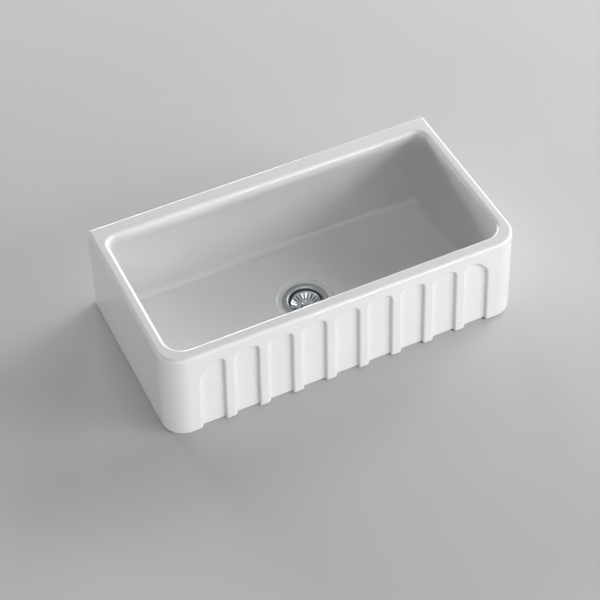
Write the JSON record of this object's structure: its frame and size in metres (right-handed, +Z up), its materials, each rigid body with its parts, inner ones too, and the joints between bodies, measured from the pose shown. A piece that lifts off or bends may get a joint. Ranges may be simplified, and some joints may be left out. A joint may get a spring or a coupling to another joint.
{
  "type": "farmhouse apron front sink",
  "caption": "Rectangular farmhouse kitchen sink with a deep basin, rounded front corners and a fluted apron front, drained through a lift-out strainer basket that also closes the waste.",
  "frame": {"origin": "centre of the bowl's footprint, on the plane of its underside", "axes": "+X along the sink, to the right seen from the front; +Y from the apron front to the back; +Z up"},
  "size_m": [0.9138, 0.4879, 0.38],
  "materials": {
    "glaze": "gloss white glaze",
    "satin_steel": "satin",
    "polished_steel": "mirror polish",
    "turned_steel": "turned",
    "seal_rubber": "matt",
    "stopper_rubber": "matt",
    "body_plastic": "fine moulded",
    "nut_plastic": "fine moulded",
    "pipe_plastic": "smooth",
    "brass": "turned"
  },
  "bodies": {
    "sink": {"bowl": "glaze", "strainer_cup": "satin_steel", "flange_seal": "seal_rubber", "under_seal": "seal_rubber", "waste_body": "body_plastic", "waste_hub": "body_plastic", "screw_insert": "brass", "clamp_screw": "turned_steel", "screw_washer": "turned_steel", "outlet_washer": "seal_rubber", "tailpiece": "pipe_plastic", "coupling_nut": "nut_plastic"},
    "grip_ring": {"grip_ring": "seal_rubber"},
    "basket": {"basket_cup": "polished_steel", "basket_knob": "polished_steel", "basket_stem": "turned_steel", "seal_carrier": "body_plastic", "stopper_seal": "stopper_rubber", "stopper_washer": "turned_steel", "stem_nut": "turned_steel"}
  },
  "joints": [
    {"name": "basket_turn", "type": "hinge", "parent": "sink", "child": "grip_ring", "pos_m": [0, -0.00825, -0.01025], "axis": [0, 0, 1], "continuous": true},
    {"name": "basket_lift", "type": "slide", "parent": "grip_ring", "child": "basket", "axis": [0, 0, 1], "range_m": [0, 0.282]}
  ]
}
